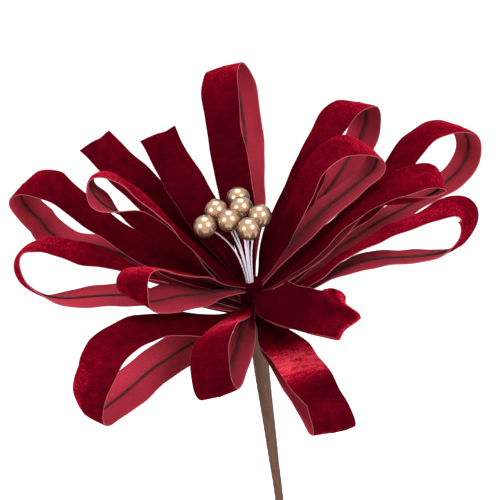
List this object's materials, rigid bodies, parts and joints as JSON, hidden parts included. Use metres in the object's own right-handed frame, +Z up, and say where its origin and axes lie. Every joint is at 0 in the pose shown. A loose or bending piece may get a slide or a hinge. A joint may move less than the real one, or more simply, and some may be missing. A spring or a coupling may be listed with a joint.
{
  "type": "gift bow",
  "caption": "Velvet ribbon gift bow of wired loops and cut tails round a cluster of pearl stamens, gathered on a tape-wrapped wire stem.",
  "frame": {"origin": "centre of the stem's foot, on the stem's axis", "axes": "+Z up the stem towards the loops and beads, -Y towards the side the bow is seen from, +X to the right from there"},
  "size_m": [0.2623, 0.1924, 0.2746],
  "materials": {
    "velvet_ribbon": "burgundy velvet pile outside, matte rose-red woven back",
    "covered_wire": "dark brown paper-covered wire",
    "bare_wire": "plain drawn wire",
    "stem_tape": "brown waxed crepe-paper floral tape",
    "pearl": "champagne pearlescent coat",
    "stamen_thread": "stiffened pale lilac-white thread"
  },
  "bodies": {
    "stem": {"stem_wire": "bare_wire", "inner_wire_ends": "covered_wire", "outer_wire_ends": "covered_wire", "stem_tape": "stem_tape", "gathered_hub": "velvet_ribbon", "binding_wire": "bare_wire"},
    "loop_01": {"loop_ribbon_01": "velvet_ribbon", "loop_wire_01": "covered_wire"},
    "loop_02": {"loop_ribbon_02": "velvet_ribbon", "loop_wire_02": "covered_wire"},
    "loop_03": {"loop_ribbon_03": "velvet_ribbon", "loop_wire_03": "covered_wire"},
    "loop_04": {"loop_ribbon_04": "velvet_ribbon", "loop_wire_04": "covered_wire"},
    "loop_05": {"loop_ribbon_05": "velvet_ribbon", "loop_wire_05": "covered_wire"},
    "loop_06": {"loop_ribbon_06": "velvet_ribbon", "loop_wire_06": "covered_wire"},
    "loop_07": {"loop_ribbon_07": "velvet_ribbon", "loop_wire_07": "covered_wire"},
    "loop_08": {"loop_ribbon_08": "velvet_ribbon", "loop_wire_08": "covered_wire"},
    "loop_09": {"loop_ribbon_09": "velvet_ribbon", "loop_wire_09": "covered_wire"},
    "loop_10": {"loop_ribbon_10": "velvet_ribbon", "loop_wire_10": "covered_wire"},
    "loop_11": {"loop_ribbon_11": "velvet_ribbon", "loop_wire_11": "covered_wire"},
    "loop_12": {"loop_ribbon_12": "velvet_ribbon", "loop_wire_12": "covered_wire"},
    "loop_13": {"loop_ribbon_13": "velvet_ribbon", "loop_wire_13": "covered_wire"},
    "loop_14": {"loop_ribbon_14": "velvet_ribbon", "loop_wire_14": "covered_wire"},
    "tail_15": {"tail_ribbon_15": "velvet_ribbon", "tail_wire_15": "covered_wire"},
    "tail_16": {"tail_ribbon_16": "velvet_ribbon", "tail_wire_16": "covered_wire"},
    "stamen_bunch": {"stamen_thread_1": "stamen_thread", "stamen_thread_2": "stamen_thread", "stamen_thread_3": "stamen_thread", "stamen_thread_4": "stamen_thread", "stamen_thread_5": "stamen_thread", "stamen_thread_6": "stamen_thread", "stamen_thread_7": "stamen_thread", "pearl_bead_1": "pearl", "pearl_bead_2": "pearl", "pearl_bead_3": "pearl", "pearl_bead_4": "pearl", "pearl_bead_5": "pearl", "pearl_bead_6": "pearl", "pearl_bead_7": "pearl", "stamen_tie": "stamen_thread"}
  },
  "joints": [
    {"name": "loop_01_tilt", "type": "hinge", "parent": "stem", "child": "loop_01", "pos_m": [0.0062, -0.00226, 0.1628], "axis": [-0.342, -0.9397, 0], "range_deg": [-6, 1.5]},
    {"name": "loop_02_tilt", "type": "hinge", "parent": "stem", "child": "loop_02", "pos_m": [0.0066, 0.00023, 0.1724], "axis": [0.0349, -0.9994, 0], "range_deg": [-0.6, 1]},
    {"name": "loop_03_swing", "type": "hinge", "parent": "stem", "child": "loop_03", "pos_m": [0.00628, 0.00204, 0.1772], "axis": [0, 0, 1], "range_deg": [-4, 2]},
    {"name": "loop_04_tilt", "type": "hinge", "parent": "stem", "child": "loop_04", "pos_m": [0.00534, 0.00388, 0.1628], "axis": [0.5878, -0.809, 0], "range_deg": [-6, 0.5]},
    {"name": "loop_05_swing", "type": "hinge", "parent": "stem", "child": "loop_05", "pos_m": [0.00406, 0.0052, 0.1676], "axis": [0, 0, 1], "range_deg": [-2, 4]},
    {"name": "loop_06_swing", "type": "hinge", "parent": "stem", "child": "loop_06", "pos_m": [0.00057, 0.00658, 0.1772], "axis": [0, 0, 1], "range_deg": [-4, 4]},
    {"name": "loop_07_swing", "type": "hinge", "parent": "stem", "child": "loop_07", "pos_m": [-0.00646, 0.00137, 0.1724], "axis": [0, 0, 1], "range_deg": [-4, 5]},
    {"name": "loop_08_tilt", "type": "hinge", "parent": "stem", "child": "loop_08", "pos_m": [-0.0056, 0.0035, 0.1676], "axis": [0.5299, 0.848, 0], "range_deg": [-1.5, 2]},
    {"name": "loop_09_tilt", "type": "hinge", "parent": "stem", "child": "loop_09", "pos_m": [-0.00654, 0.00092, 0.1628], "axis": [0.1392, 0.9903, 0], "range_deg": [-6, 1.5]},
    {"name": "loop_10_swing", "type": "hinge", "parent": "stem", "child": "loop_10", "pos_m": [-0.00547, -0.00369, 0.1772], "axis": [0, 0, 1], "range_deg": [-4, 5]},
    {"name": "loop_11_swing", "type": "hinge", "parent": "stem", "child": "loop_11", "pos_m": [-0.0049, -0.00442, 0.1628], "axis": [0, 0, 1], "range_deg": [-4, 3]},
    {"name": "loop_12_swing", "type": "hinge", "parent": "stem", "child": "loop_12", "pos_m": [-0.00182, -0.00634, 0.1676], "axis": [0, 0, 1], "range_deg": [-3, 5]},
    {"name": "loop_13_tilt", "type": "hinge", "parent": "stem", "child": "loop_13", "pos_m": [0.00226, -0.0062, 0.1628], "axis": [-0.9397, -0.342, 0], "range_deg": [-4, 5]},
    {"name": "loop_14_tilt", "type": "hinge", "parent": "stem", "child": "loop_14", "pos_m": [0.0033, -0.00572, 0.1724], "axis": [-0.866, -0.5, 0], "range_deg": [-6, 3]},
    {"name": "tail_15_tilt", "type": "hinge", "parent": "stem", "child": "tail_15", "pos_m": [-0.0049, 0.00442, 0.1772], "axis": [0.6691, 0.7431, 0], "range_deg": [-6, 3]},
    {"name": "tail_16_tilt", "type": "hinge", "parent": "stem", "child": "tail_16", "pos_m": [-0.0033, 0.00572, 0.1724], "axis": [0.866, 0.5, 0], "range_deg": [-4, 4]},
    {"name": "stamen_bunch_tilt", "type": "hinge", "parent": "stem", "child": "stamen_bunch", "pos_m": [0, 0, 0.176], "axis": [1, 0, 0], "range_deg": [-2, 10]}
  ]
}
